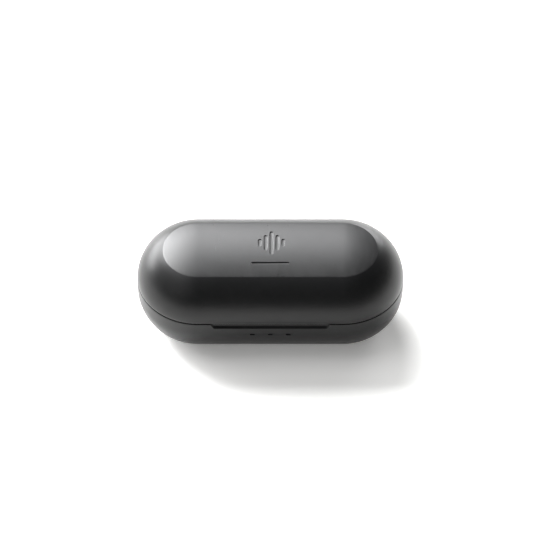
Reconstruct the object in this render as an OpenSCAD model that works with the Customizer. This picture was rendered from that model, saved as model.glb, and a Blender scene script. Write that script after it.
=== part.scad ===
// Wireless earbuds case: a pill-shaped clamshell with a rear hinge, two earbud wells with sprung
// charging contacts, and the battery and circuit board that charge the earbuds.
// Millimetres. +Z is up, -Y is the front with the thumb notch, the case stands on z = 0.

/* [Body] */
// Overall length along X
body_l = 73; // [68:0.5:78]
// Overall depth along Y
body_w = 33.7; // [33.7:0.1:35]
// Height of the parting line between base and lid
seam_z = 16.6; // [16.4:0.1:17]
// Visible gap at the parting line
seam_gap = 0.3; // [0.2:0.05:0.4]
// Wall of the base shell
base_wall = 1.6; // [1.4:0.1:1.7]
// Wall of the lid shell
lid_wall = 1.5; // [1.3:0.1:1.5]

/* [Outer curves] */
// Radius of the lid's rolled side
lid_roll_r = 12.9; // [12.5:0.1:13.2]
// Angle of the rolled side where the top facet cuts it
crease_angle = 64; // [62:1:66]
// Rise of the crowned top facet over its edge
crown = 0.8; // [0.6:0.1:1.1]
// Height of the straight belt below the parting line
belt_h = 3.5; // [3.2:0.1:3.8]
// Radius of the base's rolled side
base_roll_r = 13.95; // [13.8:0.05:14.2]

/* [Front] */
// Length of the thumb notch at its top edge
notch_l = 32.8; // [24:0.1:34]
// Height of the thumb notch
notch_h = 1.7; // [1.2:0.1:2]
// Depth of the thumb notch into the wall
notch_depth = 0.6; // [0.5:0.1:1]
// Distance between neighbouring indicator windows
led_pitch = 4.9; // [4:0.1:5]
// Height of the indicator windows
led_z = 12.3; // [12.1:0.1:12.4]

/* [Hinge] */
// Distance of the hinge axis inside the rear surface
hinge_inset = 1.25; // [1.25:0.05:1.3]
// Outer radius of the hinge knuckles
knuckle_r = 1.2; // [1.1:0.05:1.2]
// Radius of the hinge pin
pin_r = 0.5; // [0.4:0.05:0.5]
// Length of the lid's middle knuckle
lid_knuckle_l = 12; // [10:0.5:12]
// Length of each base knuckle
base_knuckle_l = 6; // [4:0.5:6]

/* [Wells] */
// Distance of each well's centre from the middle of the case
well_x = 18.5; // [18:0.1:18.8]
// Half width of a well at the deck
well_r = 9.8; // [9.4:0.1:10.2]
// Height of the deck around the wells
deck_z = 16; // [15.9:0.1:16.1]
// Height of the well floors
floor_z = 10; // [10:0.1:10.2]
// Radius of the pocket for the soft ear tip
tip_r = 5; // [4.8:0.1:5.2]

/* [Contacts] */
// Distance between the two contacts in a well
pin_pitch = 4.4; // [4:0.1:4.6]
// Height of a contact's tip when it is free
tip_z = 12.3; // [12:0.1:12.4]

/* [Hidden] */
$fn = 96;
eps = 0.01;
far = 60;

// Indicator windows: half length of the straight part, half height, and how far the lens is set in
led_half = 0.4;
led_r = 0.3;
led_set_in = 0.25;

// Stadium plan: half length of the straight spine
spine = (body_l - body_w) / 2;
half_w = body_w / 2;

// Top facet: half width and height of its edge, and the radius of its crown
facet_half = half_w - lid_roll_r * (1 - cos(crease_angle));
facet_z = seam_z + lid_roll_r * sin(crease_angle);
body_h = facet_z + crown;
crown_r = (facet_half * facet_half + crown * crown) / (2 * crown);

lid_bottom = seam_z + seam_gap / 2;
base_top = seam_z - seam_gap / 2;
belt_z = seam_z - belt_h;

// Hinge axis
hinge_y = half_w - hinge_inset;
hinge_z = seam_z;
knuckle_gap = 0.25;
knuckle_clear = 0.2;
pin_clear = 0.03;
relief_angle = 50;
base_knuckle_x = lid_knuckle_l / 2 + knuckle_gap + base_knuckle_l / 2;
barrel_l = lid_knuckle_l + 2 * (knuckle_gap + base_knuckle_l);

// Tray
tray_gap = 0.12;
tray_half = half_w - base_wall - tray_gap;
tray_skin = 1;
lip_t = 0.9;
lip_top = seam_z + 0.8;
skirt_bottom = 13.3;
well_spine = 2;
well_fillet = 4;
tip_x = well_x - 9.9;
tip_y = -3.4;
tip_floor = 10.9;
tip_fillet = 2;
tray_back = 13.85;
hook_x = 16.4;
hook_z = 14.2;

// Circuit board
pcb_t = 0.8;
pcb_top = 8.6;
pcb_bottom = pcb_top - pcb_t;
pcb_l = 51;
pcb_w = 19;
pcb_screw_y = 7.6;
boss_r = 1.7;
screw_r = 0.5;
screw_head_r = 1;

// Contacts
contact_x = well_x + 1.5;
contact_y = 3;
block_l = 8.6;
block_w = 4.2;
block_top = 11.2;
block_gap = 0.1;
barrel_r = 0.85;
barrel_bore = 0.65;
barrel_bottom = 7.6;
barrel_top = 11.35;
barrel_lid = 0.25;
contact_r = 0.45;
contact_flange_r = 0.6;
contact_flange_t = 0.3;
contact_travel = 0.8;
spring_bottom = barrel_bottom + 0.35;
spring_top = barrel_top - barrel_lid - contact_flange_t;
spring_r = 0.48;
spring_wire_r = 0.07;
spring_turns = 6;

// Connector: micro receptacle on the board's rear edge
usb_w = 7.5;
usb_h = 2.6;
usb_sheet = 0.25;
usb_back = 10.6;
usb_front = 15.95;
usb_z = pcb_top + usb_h / 2;

// Battery
cell_l = 36;
cell_w = 15.6;
cell_t = 5;
foam_t = 0.4;
cell_z = base_wall + foam_t;

// Lid liner
liner_z = 17.9;
liner_t = 1;
liner_half = half_w - lid_wall - 0.35;
dome_top = 26;
dome_arc = 4.4;
plate_t = 0.8;
lid_plate_z = liner_z - plate_t - 0.05;
lid_plate_w = 10.4;
lid_plate_front = 8.4;

// Magnets
magnet_x = 12;
magnet_y = -12.5;
magnet_size = [6, 1.9, 1.9];

black = "#2b2b2d";
tray_black = "#1d1d1f";
steel = "#b8bcc2";
gold = "#d6a84a";
board_green = "#1d5a38";

// Sweeps a half section, drawn with X as the distance from the spine and Y as height,
// round a stadium with the given half spine.
module pill_sweep(half) {
    for (side = [0, 1])
        mirror([side, 0, 0])
            translate([half, 0, 0])
                rotate([0, 0, -90])
                    rotate_extrude(angle = 180)
                        children();
    rotate([90, 0, 90])
        linear_extrude(height = 2 * half, center = true)
            union() {
                children();
                mirror([1, 0])
                    children();
            }
}

// A flat stadium plate: half spine, radius, thickness
module pill_plate(half, r, t) {
    for (side = [-1, 1])
        translate([side * half, 0, 0])
            cylinder(h = t, r = r);
    translate([-half, -r, 0])
        cube([2 * half, 2 * r, t]);
}

// Half section of the lid's solid form, taken in by the given distance
module lid_section(inset, bottom) {
    intersection() {
        translate([0, body_h - crown_r])
            circle(r = crown_r - inset, $fn = 360);
        union() {
            translate([half_w - lid_roll_r, seam_z])
                circle(r = lid_roll_r - inset);
            translate([0, bottom])
                square([half_w - lid_roll_r, far]);
        }
        translate([0, bottom])
            square([far, far]);
    }
}

// Half section of the base's solid form, taken in by the given distance
module base_section(inset, top) {
    intersection() {
        union() {
            translate([half_w - base_roll_r, belt_z])
                circle(r = base_roll_r - inset);
            translate([0, inset])
                square([half_w - base_roll_r, far]);
            translate([0, belt_z])
                square([half_w - inset, far]);
        }
        translate([0, inset])
            square([far, top - inset]);
    }
}

// Half section of a round-bottomed cup
module cup_section(r, bottom, fillet, top) {
    translate([r - fillet, bottom + fillet])
        circle(r = fillet);
    translate([0, bottom])
        square([r - fillet, top - bottom]);
    translate([0, bottom + fillet])
        square([r, top - bottom - fillet]);
}

module x_cylinder(r, l) {
    rotate([0, 90, 0])
        cylinder(h = l, r = r, center = true);
}

module y_cylinder(r, l) {
    rotate([-90, 0, 0])
        cylinder(h = l, r = r);
}

// Wedge behind the hinge axis that the opening lid needs; side is 1 above the parting line, -1 below
module hinge_relief(side) {
    reach = 3;
    start = 0.2;
    translate([0, hinge_y, hinge_z])
        rotate([90, 0, 90])
            linear_extrude(height = far, center = true)
                polygon([
                    [-start, 0],
                    [reach, side * (reach + start) * tan(relief_angle)],
                    [reach, -side * seam_gap],
                    [-start, -side * seam_gap]
                ]);
}

// Room for the hinge barrel in a shell
module barrel_room() {
    translate([0, hinge_y, hinge_z])
        x_cylinder(knuckle_r + knuckle_clear, barrel_l + 2 * knuckle_gap);
}

// The thumb notch: a slot under the lid's front edge with slanted ends
module thumb_notch() {
    translate([0, -half_w + notch_depth, 0])
        rotate([90, 0, 0])
            linear_extrude(height = far)
                polygon([
                    [-notch_l / 2, base_top + eps],
                    [notch_l / 2, base_top + eps],
                    [notch_l / 2 - 0.8, seam_z - notch_h],
                    [-notch_l / 2 + 0.8, seam_z - notch_h]
                ]);
}

// Slot through the rear wall for the charging plug
module usb_opening() {
    slot_r = usb_h / 2 + 0.45;
    translate([0, half_w - base_wall - 1.4, usb_z])
        rotate([-90, 0, 0])
            pill_plate(usb_w / 2 - 1.05, slot_r, far);
}

// Snap hooks on the tray's skirt, grown by the given clearance for their pockets in the shell
module snap_hooks(grow) {
    hook = [5, 0.8, 0.8];
    for (x = [-hook_x, hook_x], side = [-1, 1])
        translate([x, side * tray_half, hook_z])
            cube([hook.x + 2 * grow, hook.y + 2 * grow, hook.z + 2 * grow], center = true);
}

module base_shell() {
    rib_x = cell_l / 2 + 0.3;
    rib_t = 1;
    color(black)
        difference() {
            union() {
                pill_sweep(spine)
                    difference() {
                        base_section(0, base_top);
                        base_section(base_wall, far);
                    }
                for (side = [-1, 1])
                    intersection() {
                        translate([side * (rib_x + rib_t / 2) - rib_t / 2, -8, base_wall - 0.3])
                            cube([rib_t, 16, 2.4]);
                        pill_sweep(spine)
                            base_section(base_wall / 2, far);
                    }
            }
            thumb_notch();
            usb_opening();
            snap_hooks(0.1);
            barrel_room();
            hinge_relief(-1);
            for (i = [-1:1])
                translate([i * led_pitch, -half_w - 1, led_z])
                    rotate([-90, 0, 0])
                        pill_plate(led_half, led_r + 0.05, 4);
        }
}

// The cups of both wells, grown by the given distance; holes runs them up past the deck
module well_cups(grow, top) {
    for (side = [0, 1])
        mirror([side, 0, 0]) {
            translate([well_x, 0, 0])
                pill_sweep(well_spine)
                    cup_section(well_r + grow, floor_z - grow, well_fillet + grow, top);
            translate([tip_x, tip_y, 0])
                rotate_extrude()
                    cup_section(tip_r + grow, tip_floor - grow, tip_fillet + grow, top);
        }
}

module cradle_tray() {
    deck_t = 1;
    lug_x = 9.3;
    color(tray_black)
        difference() {
            union() {
                translate([0, 0, deck_z - deck_t])
                    pill_plate(spine, tray_half, deck_t);
                pill_sweep(spine)
                    translate([tray_half - lip_t, skirt_bottom])
                        square([lip_t, lip_top - skirt_bottom]);
                snap_hooks(0);
                well_cups(tray_skin, deck_z - deck_t / 2);
                for (side = [-1, 1])
                    translate([0, side * pcb_screw_y, pcb_top])
                        cylinder(h = deck_z - deck_t / 2 - pcb_top, r = boss_r);
                for (side = [-1, 1])
                    translate([side * lug_x - 1.6, 9.6, 11.8])
                        cube([3.2, tray_back - 9.6, deck_z - deck_t / 2 - 11.8]);
            }
            well_cups(0, far);
            for (side = [-1, 1])
                translate([side * contact_x, contact_y, floor_z - 3])
                    pill_plate((block_l - block_w) / 2, block_w / 2 + block_gap, 5);
            for (side = [-1, 1])
                translate([0, side * pcb_screw_y, pcb_top - eps])
                    cylinder(h = 3, r = screw_r);
            for (side = [-1, 1])
                translate([side * lug_x, tray_back - 3, 13.4])
                    y_cylinder(screw_r, far);
            translate([-barrel_l / 2 - 1, tray_back, skirt_bottom - 1])
                cube([barrel_l + 2, 5, far]);
        }
}

module hinge_base_bracket() {
    plate_y = tray_back + 0.05;
    plate_top = 15.5;
    plate_bottom = 12;
    lug_x = 9.3;
    color(steel)
        difference() {
            union() {
                translate([-barrel_l / 2, plate_y, plate_bottom])
                    cube([barrel_l, plate_t, plate_top - plate_bottom]);
                for (side = [-1, 1])
                    translate([side * base_knuckle_x, 0, 0]) {
                        translate([-base_knuckle_l / 2, plate_y, plate_top - eps])
                            cube([base_knuckle_l, plate_t, hinge_z - 0.4 - plate_top + eps]);
                        translate([-base_knuckle_l / 2, plate_y, hinge_z - 1.2])
                            cube([base_knuckle_l, hinge_y - plate_y, 0.8]);
                        translate([0, hinge_y, hinge_z])
                            x_cylinder(knuckle_r, base_knuckle_l);
                    }
            }
            translate([0, hinge_y, hinge_z])
                x_cylinder(pin_r, far);
            for (side = [-1, 1])
                translate([side * lug_x, plate_y - 1, 13.4])
                    y_cylinder(screw_r + 0.05, far);
            for (side = [-1, 1])
                translate([side * lug_x, plate_y + plate_t - 0.45, 13.4])
                    y_cylinder(screw_head_r + 0.05, far);
        }
}

// A small screw along +Z from its tip, with a cross recess in its head
module small_screw(length, head_h) {
    slot = [1.2, 0.25, 0.25];
    difference() {
        union() {
            cylinder(h = length + eps, r = screw_r - 0.02);
            translate([0, 0, length])
                cylinder(h = head_h, r = screw_head_r);
        }
        for (turn = [0, 90])
            rotate([0, 0, turn])
                translate([-slot.x / 2, -slot.y / 2, length + head_h - slot.z])
                    cube([slot.x, slot.y, far]);
    }
}

module hinge_base_screws() {
    head_h = 0.42;
    length = 2.7;
    color(steel)
        for (side = [-1, 1])
            translate([side * 9.3, tray_back + 0.05 + plate_t - 0.45 - length, 13.4])
                rotate([-90, 0, 0])
                    small_screw(length, head_h);
}

module hinge_pin() {
    color(steel)
        translate([0, hinge_y, hinge_z])
            x_cylinder(pin_r - pin_clear, barrel_l - 0.4);
}

module main_pcb() {
    corner = 4;
    color(board_green)
        difference() {
            translate([0, 0, pcb_bottom])
                linear_extrude(height = pcb_t)
                    union() {
                        for (x = [-1, 1], y = [-1, 1])
                            translate([x * (pcb_l / 2 - corner), y * (pcb_w / 2 - corner)])
                                circle(r = corner);
                        square([pcb_l - 2 * corner, pcb_w], center = true);
                        square([pcb_l, pcb_w - 2 * corner], center = true);
                        translate([-5, 0])
                            square([10, 12.9]);
                        translate([-7.5, -12.9])
                            square([15, 12.9]);
                    }
            for (side = [-1, 1], i = [-1, 1])
                translate([side * contact_x + i * pin_pitch / 2, contact_y, pcb_bottom - 1])
                    cylinder(h = 3, r = barrel_r + 0.05);
            for (side = [-1, 1])
                translate([0, side * pcb_screw_y, pcb_bottom - 1])
                    cylinder(h = 3, r = screw_r + 0.1);
        }
}

// Chips and passives: each row is centre x, centre y, length, width, height on the underside
module pcb_chips() {
    parts = [
        [-8, -5.4, 3, 3, 0.5],
        [8, -5.2, 2.6, 2.6, 0.5],
        [-11.5, 6.4, 2, 1.6, 0.5],
        [12, 6.6, 2, 1.2, 0.5],
        [-5, -8, 1, 0.5, 0.4],
        [4.4, -8.2, 1, 0.5, 0.4],
        [-15, -7, 1, 0.5, 0.4],
        [15.5, -7, 1, 0.5, 0.4],
        [5.6, 8.2, 1.6, 0.8, 0.4]
    ];
    color("#161616")
        for (p = parts)
            translate([p[0] - p[2] / 2, p[1] - p[3] / 2, pcb_bottom - p[4]])
                cube([p[2], p[3], p[4]]);
}

module pcb_screws() {
    length = 3.4;
    color(steel)
        for (side = [-1, 1])
            translate([0, side * pcb_screw_y, pcb_bottom + length])
                rotate([180, 0, 0])
                    small_screw(length, 0.5);
}

// Micro connector outline: wide at the top, narrower at the bottom
module usb_outline(inset) {
    half = usb_w / 2 - inset;
    top = usb_h / 2 - inset;
    shoulder = 0.5;
    polygon([
        [-half, top],
        [half, top],
        [half, -shoulder],
        [half - 0.8, -top],
        [-half + 0.8, -top],
        [-half, -shoulder]
    ]);
}

module usb_receptacle_shell() {
    color(steel)
        translate([0, usb_front, usb_z])
            rotate([90, 0, 0])
                difference() {
                    linear_extrude(height = usb_front - usb_back)
                        usb_outline(0);
                    translate([0, 0, -1])
                        linear_extrude(height = usb_front - usb_back)
                            usb_outline(usb_sheet);
                }
}

module usb_tongue() {
    color("#101010")
        translate([-1.85, usb_back + 1, usb_z + 0.15])
            cube([3.7, usb_front - usb_back - 1.6, 0.6]);
}

module indicator_leds() {
    color("#f2f2ee")
        for (i = [-1:1])
            translate([i * led_pitch - 0.8, -12.8, pcb_top])
                cube([1.6, 0.8, 0.6]);
}

module light_guide() {
    bar = [2 * led_pitch + 2.2, 2.7, 3];
    color("#dfe6ea")
        union() {
            translate([-bar.x / 2, -14.7, led_z - 2.3])
                cube(bar);
            for (i = [-1:1])
                translate([i * led_pitch, -half_w + led_set_in, led_z])
                    rotate([-90, 0, 0])
                        pill_plate(led_half, led_r, half_w - led_set_in - 14);
        }
}

module battery_cell() {
    corner = 1.6;
    color("#c9ccd1")
        union() {
            for (y = [-1, 1])
                translate([0, y * (cell_w / 2 - corner), cell_z + corner])
                    x_cylinder(corner, cell_l);
            for (y = [-1, 1])
                translate([0, y * (cell_w / 2 - corner), cell_z + cell_t - corner])
                    x_cylinder(corner, cell_l);
            translate([-cell_l / 2, -cell_w / 2 + corner, cell_z])
                cube([cell_l, cell_w - 2 * corner, cell_t]);
            translate([-cell_l / 2, -cell_w / 2, cell_z + corner])
                cube([cell_l, cell_w, cell_t - 2 * corner]);
        }
}

module battery_foam_pad() {
    color("#3a3a3a")
        translate([-15, -5.5, base_wall])
            cube([30, 11, foam_t]);
}

// Vector helpers for the swept tubes
function unit(v) = v / norm(v);
function ring_tangent(path, i) =
    unit(path[min(i + 1, len(path) - 1)] - path[max(i - 1, 0)]);
function side_axis(t, up) = unit(cross(t, up));
function tube_points(path, r, sides, up) = [
    for (i = [0:len(path) - 1])
        let (t = ring_tangent(path, i), u = side_axis(t, up), v = cross(u, t))
            for (k = [0:sides - 1])
                path[i] + r * (cos(360 * k / sides) * u + sin(360 * k / sides) * v)
];
function tube_faces(rings, sides) = concat(
    [[for (k = [0:sides - 1]) k]],
    [
        for (i = [0:rings - 2], k = [0:sides - 1])
            let (a = i * sides + k, b = i * sides + (k + 1) % sides)
                [a, a + sides, b + sides, b]
    ],
    [[for (k = [sides - 1:-1:0]) (rings - 1) * sides + k]]
);
module tube(path, r, sides, up) {
    polyhedron(points = tube_points(path, r, sides, up), faces = tube_faces(len(path), sides));
}

// Smooth path through a cell lead's corner points
function bezier(a, b, c, d, t) =
    pow(1 - t, 3) * a + 3 * pow(1 - t, 2) * t * b + 3 * (1 - t) * t * t * c + pow(t, 3) * d;
function lead_path(y) = [
    for (i = [0:14])
        bezier([18.1, y, 4.6], [23, y, 4.4], [26.6, y, 7.4], [23.2, y, 7.45], i / 14)
];

module battery_lead_positive() {
    color("#b3261e")
        tube(lead_path(3.2), 0.33, 8, [0, 1, 0]);
}

module battery_lead_negative() {
    color("#1a1a1a")
        tube(lead_path(-3.2), 0.33, 8, [0, 1, 0]);
}

// Two discs under the outer end of each well hold the earbud down
module earbud_magnets() {
    color(steel)
        for (side = [-1, 1], y = [-3, 3])
            translate([side * 27.4, y, floor_z - tray_skin - 1.6 + 0.6])
                cylinder(h = 1, r = 1.9);
}

module base_magnets() {
    color(steel)
        for (side = [-1, 1])
            translate([side * magnet_x - magnet_size.x / 2, magnet_y - magnet_size.y / 2,
                       deck_z - 1 - magnet_size.z])
                cube(magnet_size);
}

module lid_magnets() {
    color(steel)
        for (side = [-1, 1])
            translate([side * magnet_x - magnet_size.x / 2, magnet_y - magnet_size.y / 2,
                       liner_z + liner_t])
                cube(magnet_size);
}

// Insulating block that holds a well's two contacts
module contact_block(side) {
    color(tray_black)
        difference() {
            translate([side * contact_x, contact_y, pcb_top])
                pill_plate((block_l - block_w) / 2, block_w / 2, block_top - pcb_top);
            for (i = [-1, 1])
                translate([side * contact_x + i * pin_pitch / 2, contact_y, pcb_top - 1])
                    cylinder(h = 5, r = barrel_r);
        }
}

// Place of one contact: side is -1 left or 1 right, along is -1 or 1 towards -X or +X
module at_contact(side, along) {
    translate([side * contact_x + along * pin_pitch / 2, contact_y, 0])
        children();
}

module contact_barrel() {
    color(gold)
        difference() {
            translate([0, 0, barrel_bottom])
                cylinder(h = barrel_top - barrel_bottom, r = barrel_r);
            translate([0, 0, spring_bottom])
                cylinder(h = barrel_top - barrel_lid - spring_bottom, r = barrel_bore);
            translate([0, 0, spring_bottom])
                cylinder(h = far, r = contact_r + 0.05);
        }
}

module contact_pin() {
    round_r = 0.2;
    color(gold)
        rotate_extrude()
            union() {
                translate([0, spring_top])
                    square([contact_flange_r, contact_flange_t - 0.02]);
                translate([0, spring_top])
                    square([contact_r, tip_z - round_r - spring_top]);
                translate([0, tip_z - round_r - eps])
                    square([contact_r - round_r, round_r + eps]);
                translate([contact_r - round_r, tip_z - round_r])
                    circle(r = round_r);
            }
}

function helix(t) =
    [spring_r * cos(360 * spring_turns * t), spring_r * sin(360 * spring_turns * t),
     spring_bottom + spring_wire_r + 0.02 + t * (spring_top - spring_bottom - 2 * spring_wire_r - 0.04)];

module contact_spring() {
    steps = 12 * spring_turns;
    color(steel)
        tube([for (i = [0:steps]) helix(i / steps)], spring_wire_r, 6, [0, 0, 1]);
}

// Five rounded bars and a plain line, sunk to an even depth in the crowned top facet
module emblem() {
    heights = [2.6, 5.4, 8.2, 5.4, 2.6];
    pitch = 1.6;
    bar_r = 0.4;
    depth = 0.2;
    difference() {
        union() {
            for (i = [0:4])
                translate([(i - 2) * pitch + 0.3, 1.9, body_h - 2])
                    rotate([0, 0, 90])
                        pill_plate(heights[i] / 2 - bar_r, bar_r, 4);
            translate([0, -5.2, body_h - 2])
                pill_plate(4.8, 0.3, 4);
        }
        translate([0, 0, body_h - crown_r])
            x_cylinder(crown_r - depth, 20, $fn = 720);
    }
}

module lid_shell() {
    color(black)
        difference() {
            pill_sweep(spine)
                difference() {
                    lid_section(0, lid_bottom);
                    lid_section(lid_wall, lid_bottom - 1);
                }
            barrel_room();
            hinge_relief(1);
            emblem();
        }
}

// Half section of a well's dome in the lid, grown by the given distance
module dome_section(grow) {
    translate([well_r - dome_arc, dome_top - dome_arc])
        circle(r = dome_arc + grow);
    translate([0, dome_top - dome_arc])
        square([well_r - dome_arc, dome_arc + grow]);
    translate([0, liner_z - 1])
        square([well_r + grow, dome_top - dome_arc - liner_z + 1]);
}

module lid_liner() {
    boss_h = 3.2;
    color(tray_black)
        difference() {
            union() {
                translate([0, 0, liner_z])
                    pill_plate(spine, liner_half, liner_t);
                for (side = [-1, 1])
                    translate([side * well_x, 0, 0])
                        intersection() {
                            pill_sweep(well_spine)
                                dome_section(tray_skin);
                            translate([-far / 2, -far / 2, liner_z])
                                cube(far);
                        }
                for (side = [-1, 1])
                    translate([side * 3, 11, liner_z])
                        cylinder(h = boss_h, r = 1.4);
            }
            for (side = [-1, 1])
                translate([side * well_x, 0, 0])
                    pill_sweep(well_spine)
                        dome_section(0);
            for (side = [-1, 1])
                translate([side * 3, 11, liner_z - 1])
                    cylinder(h = 3.4, r = screw_r);
        }
}

module hinge_lid_bracket() {
    color(steel)
        difference() {
            union() {
                translate([-lid_plate_w / 2, lid_plate_front, lid_plate_z])
                    cube([lid_plate_w, hinge_y - lid_plate_front, plate_t]);
                translate([0, hinge_y, hinge_z])
                    x_cylinder(knuckle_r, lid_knuckle_l);
            }
            translate([0, hinge_y, hinge_z])
                x_cylinder(pin_r, far);
            for (side = [-1, 1])
                translate([side * 3, 11, 0])
                    cylinder(h = far, r = screw_r + 0.05);
            for (side = [-1, 1])
                translate([side * 3, 11, lid_plate_z - eps])
                    cylinder(h = 0.4, r = screw_head_r + 0.05);
        }
}

module hinge_lid_screws() {
    length = 2.7;
    color(steel)
        for (side = [-1, 1])
            translate([side * 3, 11, lid_plate_z + 0.39 + length])
                rotate([180, 0, 0])
                    small_screw(length, 0.37);
}

base_shell();
cradle_tray();
hinge_base_bracket();
hinge_base_screws();
hinge_pin();
main_pcb();
pcb_chips();
pcb_screws();
usb_receptacle_shell();
usb_tongue();
indicator_leds();
light_guide();
battery_cell();
battery_foam_pad();
battery_lead_positive();
battery_lead_negative();
earbud_magnets();
base_magnets();
contact_block(-1);  // contact_block_left
contact_block(1);  // contact_block_right
at_contact(-1, -1) contact_barrel();  // contact_barrel_left_outer
at_contact(-1, 1) contact_barrel();  // contact_barrel_left_inner
at_contact(1, -1) contact_barrel();  // contact_barrel_right_inner
at_contact(1, 1) contact_barrel();  // contact_barrel_right_outer
at_contact(-1, -1) contact_spring();  // contact_spring_left_outer
at_contact(-1, 1) contact_spring();  // contact_spring_left_inner
at_contact(1, -1) contact_spring();  // contact_spring_right_inner
at_contact(1, 1) contact_spring();  // contact_spring_right_outer
at_contact(-1, -1) contact_pin();  // contact_pin_left_outer
at_contact(-1, 1) contact_pin();  // contact_pin_left_inner
at_contact(1, -1) contact_pin();  // contact_pin_right_inner
at_contact(1, 1) contact_pin();  // contact_pin_right_outer
lid_shell();
lid_liner();
hinge_lid_bracket();
hinge_lid_screws();
lid_magnets();
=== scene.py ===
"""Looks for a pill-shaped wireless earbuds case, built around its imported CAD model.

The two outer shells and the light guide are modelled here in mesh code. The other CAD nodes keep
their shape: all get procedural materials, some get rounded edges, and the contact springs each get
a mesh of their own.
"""

import math

import bmesh
import bpy
from mathutils import Matrix, Vector


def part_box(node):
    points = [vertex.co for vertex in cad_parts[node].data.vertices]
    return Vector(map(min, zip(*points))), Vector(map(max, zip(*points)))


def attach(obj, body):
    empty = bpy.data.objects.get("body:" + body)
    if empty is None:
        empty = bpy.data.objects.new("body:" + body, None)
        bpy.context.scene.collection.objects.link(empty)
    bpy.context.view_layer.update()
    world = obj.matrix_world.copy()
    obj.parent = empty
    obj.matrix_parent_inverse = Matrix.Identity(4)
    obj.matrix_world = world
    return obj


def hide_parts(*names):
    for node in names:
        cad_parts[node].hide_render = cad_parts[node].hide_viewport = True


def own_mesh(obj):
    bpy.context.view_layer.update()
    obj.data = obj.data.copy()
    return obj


MM = 0.001

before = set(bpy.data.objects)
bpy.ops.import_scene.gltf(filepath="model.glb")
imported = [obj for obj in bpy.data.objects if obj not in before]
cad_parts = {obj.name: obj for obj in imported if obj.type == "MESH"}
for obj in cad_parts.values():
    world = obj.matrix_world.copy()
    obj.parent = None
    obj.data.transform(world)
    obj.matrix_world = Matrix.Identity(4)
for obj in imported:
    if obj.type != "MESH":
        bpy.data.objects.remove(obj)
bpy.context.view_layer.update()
scene = bpy.context.scene

# ---------------------------------------------------------------- sizes in millimetres

# Outside of the body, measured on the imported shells

base_low, base_high = [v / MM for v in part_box("base_shell")]
lid_low, lid_high = [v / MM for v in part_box("lid_shell")]

BODY_L = base_high.x - base_low.x
HALF_W = -base_low.y
SPINE = BODY_L / 2 - HALF_W
TOP_Z = lid_high.z
LID_BOTTOM = lid_low.z
RIM_Z = base_high.z
SEAM_Z = (LID_BOTTOM + RIM_Z) / 2

# Section of the lid: radius of the rounded side, wall, rise of the top facet, and rounding and
# angle of the crease between the two
LID_ROLL_R = 12.9
LID_WALL = 1.5
CROWN = 0.8
CREASE_R = 0.8
CREASE_ANGLE = math.radians(64)

# Section of the base: radius of the rounded side, wall, height where the side turns upright, and
# rounding at the foot
BASE_ROLL_R = 13.95
BASE_WALL = 1.6
BELT_Z = SEAM_Z - 3.5
FOOT_R = 0.8

# Rounding of both rims at the parting line
RIM_R = 0.18

# Hinge: its axis, the radius and half length of the room for its barrel, and the slope of the
# shells behind it
HINGE_Y = HALF_W - 1.25
HINGE_Z = SEAM_Z
HINGE_ROOM_R = 1.4
HINGE_REACH = 12.75
RELIEF = math.radians(50)

# Thumb notch
NOTCH_L = 32.8
NOTCH_H = 1.7
NOTCH_DEPTH = 0.6

# Indicator windows: spacing, height above the floor, half length of the straight part, radius
LED_PITCH = 4.9
LED_Z = 12.3
LED_HALF = 0.4
LED_R = 0.35

# Charging port: height, half length of the straight part, radius
PORT_Z = 9.9
PORT_HALF = 2.7
PORT_R = 1.75

# Edges of the shells sharper than this stay sharp in the shading, in degrees
SHARP = 28

# ---------------------------------------------------------------- small geometry helpers


def arc(centre, radius, start, end, steps):
    """Points of a circular arc in the section plane; angles in radians from the outward axis."""
    cx, cz = centre
    angles = [start + (end - start) * i / steps for i in range(steps + 1)]
    return [(cx + radius * math.cos(a), cz + radius * math.sin(a)) for a in angles]


def line(start, end, steps):
    """Points along a straight line, both ends included."""
    return [
        (start[0] + (end[0] - start[0]) * i / steps, start[1] + (end[1] - start[1]) * i / steps)
        for i in range(steps + 1)
    ]


def join(*runs):
    """One polyline from several, with repeated joints dropped."""
    points = []
    for run in runs:
        for p in run:
            if not points or math.dist(points[-1], p) > 1e-4:
                points.append(p)
    return points


def meeting(c1, r1, c2, r2):
    """The outward and upper crossing of two circles."""
    dx, dz = c2[0] - c1[0], c2[1] - c1[1]
    d = math.hypot(dx, dz)
    along = (r1 * r1 - r2 * r2 + d * d) / (2 * d)
    off = math.sqrt(max(r1 * r1 - along * along, 0.0))
    mid = (c1[0] + along * dx / d, c1[1] + along * dz / d)
    both = [(mid[0] + s * off * dz / d, mid[1] - s * off * dx / d) for s in (-1, 1)]
    return max(both)


def angle_to(centre, point):
    """Angle of the way from centre to point."""
    return math.atan2(point[1] - centre[1], point[0] - centre[0])


def new_object(name, bm, materials):
    """An object from a mesh in millimetres."""
    mesh = bpy.data.meshes.new(name)
    bm.to_mesh(mesh)
    bm.free()
    mesh.transform(Matrix.Scale(MM, 4))
    for m in materials:
        mesh.materials.append(m)
    obj = bpy.data.objects.new(name, mesh)
    scene.collection.objects.link(obj)
    return obj


def stadium_stations(spine, straight_steps, arc_steps):
    """Round a stadium plan: each station is a spine point and an outward direction."""
    stations = []
    for i in range(straight_steps):
        stations.append((-spine + 2 * spine * i / straight_steps, 0.0, -1.0))
    for i in range(arc_steps):
        a = -math.pi / 2 + math.pi * i / arc_steps
        stations.append((spine, math.cos(a), math.sin(a)))
    for i in range(straight_steps):
        stations.append((spine - 2 * spine * i / straight_steps, 0.0, 1.0))
    for i in range(arc_steps):
        a = math.pi / 2 + math.pi * i / arc_steps
        stations.append((-spine, math.cos(a), math.sin(a)))
    return stations


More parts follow.
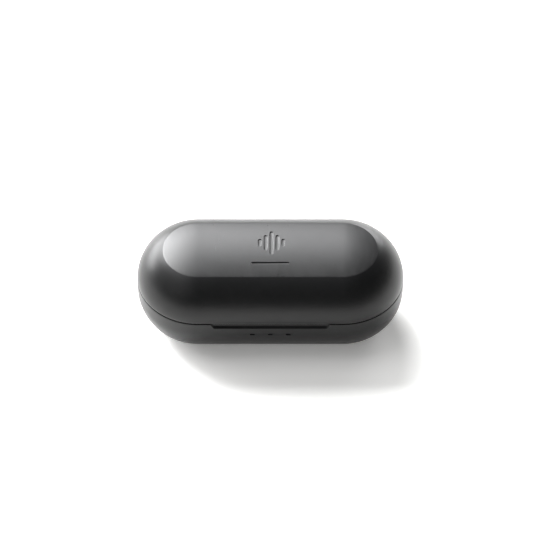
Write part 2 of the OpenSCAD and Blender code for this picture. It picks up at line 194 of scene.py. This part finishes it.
def sweep(profile, stations, slots):
    """Sweeps a section round the stations. slots gives the material of each profile segment."""
    bm = bmesh.new()
    rings = [
        [bm.verts.new((px + dx * d, dy * d, z)) for d, z in profile] for px, dx, dy in stations
    ]
    count = len(rings)
    for i in range(count):
        a, b = rings[i], rings[(i + 1) % count]
        for k in range(len(profile) - 1):
            face = bm.faces.new((a[k], b[k], b[k + 1], a[k + 1]))
            face.material_index = slots[k]
            face.smooth = True
    bmesh.ops.remove_doubles(bm, verts=bm.verts, dist=1e-4)
    bmesh.ops.dissolve_degenerate(bm, dist=1e-4, edges=bm.edges)
    bmesh.ops.recalc_face_normals(bm, faces=bm.faces)
    return bm


def loft(levels, place):
    """A closed solid through outlines with equal point counts.

    levels holds pairs of an outline and its w, and place turns (u, v, w) into a position.
    """
    bm = bmesh.new()
    rings = [[bm.verts.new(place(u, v, w)) for u, v in outline] for outline, w in levels]
    n = len(rings[0])
    for a, b in zip(rings, rings[1:]):
        for k in range(n):
            face = bm.faces.new((a[k], a[(k + 1) % n], b[(k + 1) % n], b[k]))
            face.smooth = True
    for ring in (rings[0], rings[-1]):
        bm.faces.new(ring)
    bmesh.ops.recalc_face_normals(bm, faces=bm.faces)
    return bm


def capsule(half, radius, steps=10):
    """Outline of a rounded bar along v: half is half the length between its end centres."""
    points = []
    for side in (1, -1):
        for i in range(steps + 1):
            a = math.pi * i / steps + (0 if side > 0 else math.pi)
            points.append((radius * math.cos(a), side * half + radius * math.sin(a)))
    return points


def rounded_polygon(corners, radii, steps=6):
    """A polygon with each corner rounded to its own radius."""
    points = []
    n = len(corners)
    for i, r in enumerate(radii):
        p = Vector(corners[i])
        before = (Vector(corners[i - 1]) - p).normalized()
        after = (Vector(corners[(i + 1) % n]) - p).normalized()
        if r <= 0:
            points.append(tuple(p))
            continue
        half = before.angle(after) / 2
        reach = r / math.tan(half)
        start, end = p + before * reach, p + after * reach
        for k in range(steps + 1):
            t = k / steps
            w = 1 - t
            points.append(tuple(start * (w * w) + p * (2 * w * t) + end * (t * t)))
    return points


def cut(obj, cutters):
    """Takes the cutters out of obj and removes them."""
    for cutter in cutters:
        mod = obj.modifiers.new("cut", "BOOLEAN")
        mod.operation = "DIFFERENCE"
        mod.solver = "EXACT"
        mod.object = cutter
    bake(obj)
    for cutter in cutters:
        bpy.data.objects.remove(cutter)


def bake(obj):
    """Puts the result of obj's modifiers in its mesh."""
    bpy.context.view_layer.update()
    graph = bpy.context.evaluated_depsgraph_get()
    mesh = bpy.data.meshes.new_from_object(obj.evaluated_get(graph))
    obj.modifiers.clear()
    obj.data = mesh


def smooth_by_angle(obj, degrees):
    """Smooth shading, with edges sharper than the angle kept sharp."""
    bm = bmesh.new()
    bm.from_mesh(obj.data)
    limit = math.radians(degrees)
    for face in bm.faces:
        face.smooth = True
    for edge in bm.edges:
        edge.smooth = not (edge.is_manifold and edge.calc_face_angle(0) > limit)
    bm.to_mesh(obj.data)
    bm.free()


# ---------------------------------------------------------------- materials

# Share of the fine noise beside the broad one, how far the roughness strays, how many grains wide
# the broad noise is, and the height of the bump in mm
FINE_SHARE = 0.7
ROUGHNESS_STRAY = 0.06
BROAD_GRAINS = 40
BUMP_HEIGHT = 0.02


def make_material(
    name, colour, roughness, metallic=0.0, grain=0.2, bump=0.1, vary=0.1, stretch=(1, 1, 1), **extra
):
    """A procedural finish: noise at the size of the grain drives colour, roughness and bump.

    grain is in mm, vary is how far the colour strays, and stretch below 1 draws the grain out along
    an axis. extra names further sockets of the shader.
    """
    mat = bpy.data.materials.new(name)
    mat.use_nodes = True
    nodes, links = mat.node_tree.nodes, mat.node_tree.links
    shader = nodes["Principled BSDF"]
    shader.inputs["Metallic"].default_value = metallic
    for socket, value in extra.items():
        shader.inputs[socket.replace("_", " ")].default_value = value

    where = nodes.new("ShaderNodeTexCoord")
    mapping = nodes.new("ShaderNodeMapping")
    mapping.inputs["Scale"].default_value = stretch
    links.new(where.outputs["Object"], mapping.inputs["Vector"])

    fine = nodes.new("ShaderNodeTexNoise")
    fine.inputs["Scale"].default_value = 1 / (grain * MM)
    fine.inputs["Detail"].default_value = 3
    links.new(mapping.outputs["Vector"], fine.inputs["Vector"])

    broad = nodes.new("ShaderNodeTexNoise")
    broad.inputs["Scale"].default_value = 1 / (grain * BROAD_GRAINS * MM)
    broad.inputs["Detail"].default_value = 2
    links.new(where.outputs["Object"], broad.inputs["Vector"])

    broad_part = nodes.new("ShaderNodeMath")
    broad_part.operation = "MULTIPLY"
    broad_part.inputs[1].default_value = 1 - FINE_SHARE
    links.new(broad.outputs["Fac"], broad_part.inputs[0])
    both = nodes.new("ShaderNodeMath")
    both.operation = "MULTIPLY_ADD"
    both.inputs[1].default_value = FINE_SHARE
    links.new(fine.outputs["Fac"], both.inputs[0])
    links.new(broad_part.outputs[0], both.inputs[2])

    ramp = nodes.new("ShaderNodeMix")
    ramp.data_type = "RGBA"
    dark = [c * (1 - vary) for c in colour]
    light = [min(1.0, c * (1 + vary)) for c in colour]
    ramp.inputs["A"].default_value = (*dark, 1)
    ramp.inputs["B"].default_value = (*light, 1)
    links.new(both.outputs[0], ramp.inputs["Factor"])
    links.new(ramp.outputs["Result"], shader.inputs["Base Color"])

    rough = nodes.new("ShaderNodeMapRange")
    rough.inputs["From Min"].default_value = 0.25
    rough.inputs["From Max"].default_value = 0.75
    rough.inputs["To Min"].default_value = max(0.02, roughness - ROUGHNESS_STRAY)
    rough.inputs["To Max"].default_value = min(1.0, roughness + ROUGHNESS_STRAY)
    links.new(both.outputs[0], rough.inputs["Value"])
    links.new(rough.outputs["Result"], shader.inputs["Roughness"])

    if bump > 0:
        relief = nodes.new("ShaderNodeBump")
        relief.inputs["Strength"].default_value = bump
        relief.inputs["Distance"].default_value = BUMP_HEIGHT * MM
        links.new(fine.outputs["Fac"], relief.inputs["Height"])
        links.new(relief.outputs["Normal"], shader.inputs["Normal"])
    return mat


BLACK = (0.0040, 0.0040, 0.0043)
GREY_STEEL = (0.20, 0.205, 0.21)
ALONG_X = (0.03, 1, 1)
ALONG_Y = (1, 0.012, 1)

case_plastic = make_material(
    "case_plastic", BLACK, 0.38, grain=0.16, bump=0.2, vary=0.2, Specular_IOR_Level=0.235
)
case_facet = make_material(
    "case_facet",
    BLACK,
    0.32,
    grain=0.3,
    bump=0.15,
    vary=0.3,
    stretch=ALONG_Y,
    Specular_IOR_Level=0.38,
)
tray_plastic = make_material("tray_plastic", (0.014, 0.014, 0.015), 0.50, grain=0.18, bump=0.3)
hinge_steel = make_material("hinge_steel", GREY_STEEL, 0.32, 1.0, 0.1, 0.2, 0.1, ALONG_X)
pin_steel = make_material("pin_steel", (0.22, 0.225, 0.23), 0.22, 1.0, 0.1, 0.1, 0.08)
screw_steel = make_material("screw_steel", (0.18, 0.185, 0.19), 0.30, 1.0, 0.1, 0.15, 0.1)
board = make_material("board", (0.012, 0.10, 0.045), 0.30, grain=0.3, bump=0.15, vary=0.2)
chip = make_material("chip", (0.014, 0.014, 0.015), 0.45, grain=0.1, bump=0.2)
port_steel = make_material("port_steel", GREY_STEEL, 0.25, 1.0, 0.1, 0.15, 0.08, (1, 0.05, 1))
port_insulator = make_material("port_insulator", (0.01, 0.01, 0.011), 0.40, grain=0.1, bump=0.1)
led_body = make_material("led_body", (0.75, 0.75, 0.66), 0.35, grain=0.1, bump=0.1)
smoked_lens = make_material(
    "smoked_lens", (0.004, 0.004, 0.005), 0.35, grain=0.1, bump=0.05, Specular_IOR_Level=0.1
)
cell_film = make_material("cell_film", (0.62, 0.63, 0.65), 0.30, 0.9, 0.5, 0.3, 0.06)
foam = make_material("foam", (0.03, 0.03, 0.03), 0.9, grain=0.25, bump=0.8, vary=0.3)
red_wire = make_material("red_wire", (0.45, 0.02, 0.015), 0.42, grain=0.2, bump=0.1)
black_wire = make_material("black_wire", (0.012, 0.012, 0.012), 0.42, grain=0.2, bump=0.1)
magnet_nickel = make_material("magnet_nickel", (0.66, 0.65, 0.62), 0.20, 1.0, 0.2, 0.1, 0.06)
contact_gold = make_material("contact_gold", (0.78, 0.52, 0.20), 0.22, 1.0, 0.1, 0.1, 0.08)
spring_steel = make_material("spring_steel", (0.58, 0.59, 0.61), 0.25, 1.0, 0.1, 0.1, 0.08)

# ---------------------------------------------------------------- lid shell

roll_centre = (HALF_W - LID_ROLL_R, SEAM_Z)
facet_half = HALF_W - LID_ROLL_R * (1 - math.cos(CREASE_ANGLE))
crown_radius = (facet_half ** 2 + CROWN ** 2) / (2 * CROWN)
crown_centre = (0.0, TOP_Z - crown_radius)


def lid_profile():
    """The lid's section from the top's middle out, round the rim and back along the inside.

    Returns it with the material slot of each segment: 1 on the facet, 0 elsewhere.
    """
    fillet_c = meeting(roll_centre, LID_ROLL_R - CREASE_R, crown_centre, crown_radius - CREASE_R)
    to_roll = angle_to(roll_centre, fillet_c)
    to_crown = angle_to(crown_centre, fillet_c)
    crown = arc(crown_centre, crown_radius, math.pi / 2, to_crown, 12)
    fillet = arc(fillet_c, CREASE_R, to_crown, to_roll, 5)
    rim = math.asin((LID_BOTTOM + RIM_R - SEAM_Z) / LID_ROLL_R)
    roll = arc(roll_centre, LID_ROLL_R, to_roll, rim, 26)
    edge_c = (roll[-1][0] - RIM_R, LID_BOTTOM + RIM_R)
    outer_edge = arc(edge_c, RIM_R, 0, -math.pi / 2, 4)
    inner_r = LID_ROLL_R - LID_WALL
    inner_rim = math.asin((LID_BOTTOM + RIM_R - SEAM_Z) / inner_r)
    inner_x = roll_centre[0] + inner_r * math.cos(inner_rim)
    inner_edge = arc((inner_x + RIM_R, LID_BOTTOM + RIM_R), RIM_R, -math.pi / 2, -math.pi, 3)
    inner_top = crown_radius - LID_WALL
    inner_meet = meeting(roll_centre, inner_r, crown_centre, inner_top)
    inner_roll = arc(roll_centre, inner_r, inner_rim, angle_to(roll_centre, inner_meet), 12)
    inner_crown = arc(crown_centre, inner_top, angle_to(crown_centre, inner_meet), math.pi / 2, 5)
    crown[0] = (0.0, TOP_Z)
    inner_crown[-1] = (0.0, TOP_Z - LID_WALL)
    profile = join(crown, fillet, roll, outer_edge, inner_edge, inner_roll, inner_crown)
    facet_to = len(crown) + len(fillet) - 2
    slots = [1 if k < facet_to else 0 for k in range(len(profile) - 1)]
    return profile, slots


def crown_height(y):
    """Height of the top facet at y."""
    return crown_centre[1] + math.sqrt(crown_radius ** 2 - y * y)


def emblem_cutters():
    """Five rounded bars and a plain line, sunk with soft edges."""
    cutters = []
    # How far the outline grows at each depth below the surface
    steps = [
        (-0.14, 0.24),
        (-0.05, 0.23),
        (0.0, 0.19),
        (0.03, 0.08),
        (0.07, 0.02),
        (0.16, -0.03),
        (0.2, -0.4),
    ]

    def bar(x, y, half, radius, turned):
        levels = [(capsule(half, radius + grow), depth) for grow, depth in steps]

        def place(u, v, w):
            px, py = (x - v, y + u) if turned else (x + u, y + v)
            return (px, py, crown_height(py) - w)

        return new_object("bar_cutter", loft(levels, place), [case_facet])

    bar_pitch, bar_r, bars_x, bars_y = 1.6, 0.4, 0.3, 1.9
    for i, length in enumerate((2.6, 5.4, 8.2, 5.4, 2.6)):
        cutters.append(bar((i - 2) * bar_pitch + bars_x, bars_y, length / 2 - bar_r, bar_r, False))
    line_y, line_half, line_r = -5.2, 4.8, 0.3
    cutters.append(bar(0.0, line_y, line_half, line_r, True))
    return cutters


def relief_cutter(side):
    """The wedge behind the hinge axis that the opening lid needs."""
    reach, start, lap = 3.0, 0.2, 0.3
    section = [
        (HINGE_Y - start, HINGE_Z),
        (HINGE_Y + reach, HINGE_Z + side * (reach + start) * math.tan(RELIEF)),
        (HINGE_Y + reach, HINGE_Z - side * lap),
        (HINGE_Y - start, HINGE_Z - side * lap),
    ]
    levels = [(section, -30.0), (section, 30.0)]
    return new_object("relief_cutter", loft(levels, lambda u, v, w: (w, u, v)), [case_plastic])


def barrel_cutter():
    """The round room for the hinge barrel."""
    sides = 48
    turns = [2 * math.pi * i / sides for i in range(sides)]
    section = [
        (HINGE_Y + HINGE_ROOM_R * math.cos(a), HINGE_Z + HINGE_ROOM_R * math.sin(a)) for a in turns
    ]
    levels = [(section, -HINGE_REACH), (section, HINGE_REACH)]
    return new_object("barrel_cutter", loft(levels, lambda u, v, w: (w, u, v)), [case_plastic])


stations = stadium_stations(SPINE, 40, 72)
profile, slots = lid_profile()
lid_cover = new_object("lid_cover", sweep(profile, stations, slots), [case_plastic, case_facet])
cut(lid_cover, emblem_cutters() + [relief_cutter(1), barrel_cutter()])
smooth_by_angle(lid_cover, SHARP)
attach(lid_cover, "lid")
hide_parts("lid_shell")

# ---------------------------------------------------------------- base shell


def base_profile():
    """The base's section from the underside's middle out, round the rim and back inside."""
    centre = (HALF_W - BASE_ROLL_R, BELT_Z)
    foot_x = centre[0] + math.sqrt((BASE_ROLL_R - FOOT_R) ** 2 - (centre[1] - FOOT_R) ** 2)
    to_foot = math.atan2(FOOT_R - centre[1], foot_x - centre[0])
    floor = line((0.0, 0.0), (foot_x, 0.0), 5)
    foot_arc = arc((foot_x, FOOT_R), FOOT_R, -math.pi / 2, to_foot, 3)
    roll = arc(centre, BASE_ROLL_R, to_foot, 0, 26)
    belt = line((HALF_W, BELT_Z), (HALF_W, RIM_Z - RIM_R), 5)
    outer_edge = arc((HALF_W - RIM_R, RIM_Z - RIM_R), RIM_R, 0, math.pi / 2, 4)
    inner = HALF_W - BASE_WALL
    inner_edge = arc((inner + RIM_R, RIM_Z - RIM_R), RIM_R, math.pi / 2, math.pi, 3)
    inner_belt = line((inner, RIM_Z - RIM_R), (inner, BELT_Z), 4)
    inner_r = BASE_ROLL_R - BASE_WALL
    floor_x = centre[0] + math.sqrt(inner_r ** 2 - (centre[1] - BASE_WALL) ** 2)
    to_floor = math.atan2(BASE_WALL - centre[1], floor_x - centre[0])
    inner_roll = arc(centre, inner_r, 0, to_floor, 12)
    inner_floor = line((floor_x, BASE_WALL), (0.0, BASE_WALL), 4)
    return join(
        floor, foot_arc, roll, belt, outer_edge, inner_edge, inner_belt, inner_roll, inner_floor
    )


def notch_cutter():
    """The thumb notch, with rounded corners and a scooped lower edge."""

    def outline(grow):
        top = RIM_Z + 2
        low = SEAM_Z - NOTCH_H + 0.1 - grow
        half = NOTCH_L / 2 - 0.1 + grow * 0.5
        corners = [
            (-half - 0.8, top),
            (-half, RIM_Z),
            (-half + 0.9, low),
            (half - 0.9, low),
            (half, RIM_Z),
            (half + 0.8, top),
        ]
        return rounded_polygon(corners, [0, 0.3, 0.6, 0.6, 0.3, 0])

    front = -HALF_W
    levels = [
        (outline(0.25), front - 1),
        (outline(0.25), front - 0.01),
        (outline(0.20), front + 0.02),
        (outline(0.08), front + 0.12),
        (outline(0.0), front + 0.28),
        (outline(-0.05), front + 0.42),
        (outline(-0.25), front + NOTCH_DEPTH),
    ]
    return new_object("notch_cutter", loft(levels, lambda u, v, w: (u, w, v)), [case_plastic])


def led_cutter(x):
    """A pill-shaped window hole with a slightly eased edge."""
    front = -HALF_W
    levels = [
        (capsule(LED_HALF, LED_R + 0.03), front - 1),
        (capsule(LED_HALF, LED_R + 0.03), front),
        (capsule(LED_HALF, LED_R), front + 0.03),
        (capsule(LED_HALF, LED_R), front + 3),
    ]
    bm = loft(levels, lambda u, v, w: (x + v, w, LED_Z + u))
    return new_object("led_cutter", bm, [case_plastic])


def port_cutter():
    """The slot for the charging plug, with a flared mouth."""
    back = HALF_W
    levels = [
        (capsule(PORT_HALF, PORT_R), back - 4),
        (capsule(PORT_HALF, PORT_R), back - 0.5),
        (capsule(PORT_HALF, PORT_R + 0.12), back - 0.22),
        (capsule(PORT_HALF, PORT_R + 0.5), back + 0.1),
        (capsule(PORT_HALF, PORT_R + 0.5), back + 1),
    ]
    bm = loft(levels, lambda u, v, w: (v, w, PORT_Z + u))
    return new_object("port_cutter", bm, [case_plastic])


profile = base_profile()
slots = [0] * (len(profile) - 1)
base_cover = new_object("base_cover", sweep(profile, stations, slots), [case_plastic])
cut(
    base_cover,
    [led_cutter(i * LED_PITCH) for i in (-1, 0, 1)]
    + [notch_cutter(), port_cutter(), relief_cutter(-1), barrel_cutter()],
)
smooth_by_angle(base_cover, SHARP)
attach(base_cover, "base")
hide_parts("base_shell")

# ---------------------------------------------------------------- light guide


def light_guide_piece():
    """A rounded bar behind the front wall, with three pill-shaped prongs in the windows."""
    bm = bmesh.new()
    low, high = [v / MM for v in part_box("light_guide")]
    bar_front = -14.7
    radius = LED_R - 0.05
    tip = [(0.0, bar_front + 0.4), (0.0, low.y + 0.08), (0.03, low.y + 0.03), (0.1, low.y)]
    size = (high.x - low.x, high.y - bar_front, high.z - low.z)
    made = bmesh.ops.create_cube(bm, size=1.0)
    bmesh.ops.scale(bm, vec=size, verts=made["verts"])
    middle = ((low.x + high.x) / 2, (bar_front + high.y) / 2, (low.z + high.z) / 2)
    bmesh.ops.translate(bm, vec=middle, verts=made["verts"])
    bmesh.ops.bevel(bm, geom=list(bm.edges), offset=0.25, segments=3, affect="EDGES", profile=0.5)
    for i in (-1, 0, 1):
        rings = []
        for inset, y in tip:
            outline = capsule(LED_HALF, radius - inset)
            rings.append([bm.verts.new((i * LED_PITCH + v, y, LED_Z + u)) for u, v in outline])
        n = len(rings[0])
        for a, b in zip(rings, rings[1:]):
            for k in range(n):
                bm.faces.new((a[k], a[(k + 1) % n], b[(k + 1) % n], b[k]))
        bm.faces.new(rings[0])
        bm.faces.new(rings[-1])
    bmesh.ops.recalc_face_normals(bm, faces=bm.faces)
    return new_object("light_guide_lens", bm, [smoked_lens])


guide = light_guide_piece()
smooth_by_angle(guide, 35)
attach(guide, "base")
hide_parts("light_guide")

# ---------------------------------------------------------------- CAD nodes that keep their shape

FINISHES = {
    "cradle_tray": tray_plastic,
    "lid_liner": tray_plastic,
    "hinge_base_bracket": hinge_steel,
    "hinge_lid_bracket": hinge_steel,
    "hinge_pin": pin_steel,
    "hinge_base_screws": screw_steel,
    "hinge_lid_screws": screw_steel,
    "pcb_screws": screw_steel,
    "main_pcb": board,
    "pcb_chips": chip,
    "usb_receptacle_shell": port_steel,
    "usb_tongue": port_insulator,
    "indicator_leds": led_body,
    "battery_cell": cell_film,
    "battery_foam_pad": foam,
    "battery_lead_positive": red_wire,
    "battery_lead_negative": black_wire,
    "earbud_magnets": magnet_nickel,
    "base_magnets": magnet_nickel,
    "lid_magnets": magnet_nickel,
    "contact_block_left": tray_plastic,
    "contact_block_right": tray_plastic,
}
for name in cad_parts:
    if name.startswith("contact_spring"):
        FINISHES[name] = spring_steel
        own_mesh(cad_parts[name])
    elif name.startswith(("contact_barrel", "contact_pin")):
        FINISHES[name] = contact_gold

# Rounding of the edges of these nodes, in mm
ROUNDED = {
    "cradle_tray": 0.22,
    "lid_liner": 0.25,
    "hinge_base_bracket": 0.08,
    "hinge_lid_bracket": 0.08,
    "usb_receptacle_shell": 0.05,
    "contact_block_left": 0.12,
    "contact_block_right": 0.12,
}

for name, mat in FINISHES.items():
    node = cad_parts[name]
    node.data.materials.clear()
    node.data.materials.append(mat)
    if name in ROUNDED:
        weld = node.modifiers.new("weld", "WELD")
        weld.merge_threshold = 0.002 * MM
        bevel = node.modifiers.new("bevel", "BEVEL")
        bevel.width = ROUNDED[name] * MM
        bevel.segments = 3
        bevel.limit_method = "ANGLE"
        bevel.angle_limit = math.radians(40)
        bevel.use_clamp_overlap = True

# ---------------------------------------------------------------- camera

# View angle above the floor, distance in m, lens in mm, height of the point aimed at above the
# parting line in mm, and how far the view is moved right and up from it in mm
ELEVATION = math.radians(50.29)
DISTANCE = 1.656
LENS = 409.4
AIM_ABOVE_SEAM = 6.0
VIEW_RIGHT, VIEW_UP = -1.066, -0.984

aim = Vector((0.0, 0.0, (SEAM_Z + AIM_ABOVE_SEAM) * MM))
towards = Vector((0.0, -math.cos(ELEVATION), math.sin(ELEVATION)))
right = Vector((1.0, 0.0, 0.0))
up = right.cross(-towards)
aim += right * (VIEW_RIGHT * MM) + up * (VIEW_UP * MM)
turned = Matrix((right, up, towards)).transposed().to_4x4()
camera_data = bpy.data.cameras.new("camera")
camera_data.lens = LENS
camera_data.sensor_width = 36
camera_data.clip_start = 0.05
camera_data.clip_end = 20
camera = bpy.data.objects.new("camera", camera_data)
camera.matrix_world = Matrix.Translation(aim + towards * DISTANCE) @ turned
scene.collection.objects.link(camera)
scene.camera = camera

# ---------------------------------------------------------------- floor and light

# Half width of the floor, and how far it lies under the case, in mm
FLOOR_HALF = 3000
FLOOR_DROP = 0.01
# Distance of the lights, in m
LIGHT_DISTANCE = 1.6

# The floor is matt white, with a little light of its own to lift the darkest shadow
floor_mat = bpy.data.materials.new("floor")
floor_mat.use_nodes = True
floor_shader = floor_mat.node_tree.nodes["Principled BSDF"]
floor_shader.inputs["Base Color"].default_value = (0.98, 0.975, 0.955, 1)
floor_shader.inputs["Roughness"].default_value = 0.9
floor_shader.inputs["Emission Color"].default_value = (1.0, 0.995, 0.98, 1)
floor_shader.inputs["Emission Strength"].default_value = 0.16
floor_shader.inputs["Specular IOR Level"].default_value = 0.0
bm = bmesh.new()
bmesh.ops.create_grid(bm, x_segments=1, y_segments=1, size=FLOOR_HALF)
floor = new_object("floor", bm, [floor_mat])
floor.location.z = -FLOOR_DROP * MM


def soft_light(name, azimuth, elevation, width, height, watts):
    """A round soft light that faces the case. Azimuth runs from the back round by the left."""
    a, e = math.radians(azimuth), math.radians(elevation)
    way = Vector((-math.sin(a) * math.cos(e), math.cos(a) * math.cos(e), math.sin(e)))
    place = way * LIGHT_DISTANCE
    data = bpy.data.lights.new(name, "AREA")
    data.shape = "ELLIPSE"
    data.size, data.size_y = width, height
    data.energy = watts
    data.color = (0.985, 0.99, 1.0)
    obj = bpy.data.objects.new(name, data)
    facing = place.to_track_quat("Z", "Y").to_matrix().to_4x4()
    obj.matrix_world = Matrix.Translation(place) @ facing
    scene.collection.objects.link(obj)


soft_light("key_left", 41, 41, 1.0, 1.0, 50)
soft_light("key_back", 18, 37, 0.9, 0.5, 17)
soft_light("high_back_left", 30, 50, 1.6, 0.7, 24)
soft_light("low_back_left", 48, 11, 1.4, 0.7, 54)
soft_light("low_back_right", -23, 11, 1.0, 0.6, 18)
soft_light("top_left", 90, 66, 0.9, 0.9, 6)
soft_light("front_left", 130, 42, 1.6, 1.4, 5)

world = bpy.data.worlds.new("world")
scene.world = world
world.use_nodes = True
background = world.node_tree.nodes["Background"]
background.inputs["Color"].default_value = (1, 1, 1, 1)
background.inputs["Strength"].default_value = 0.14

scene.view_settings.view_transform = "Standard"
scene.view_settings.look = "None"
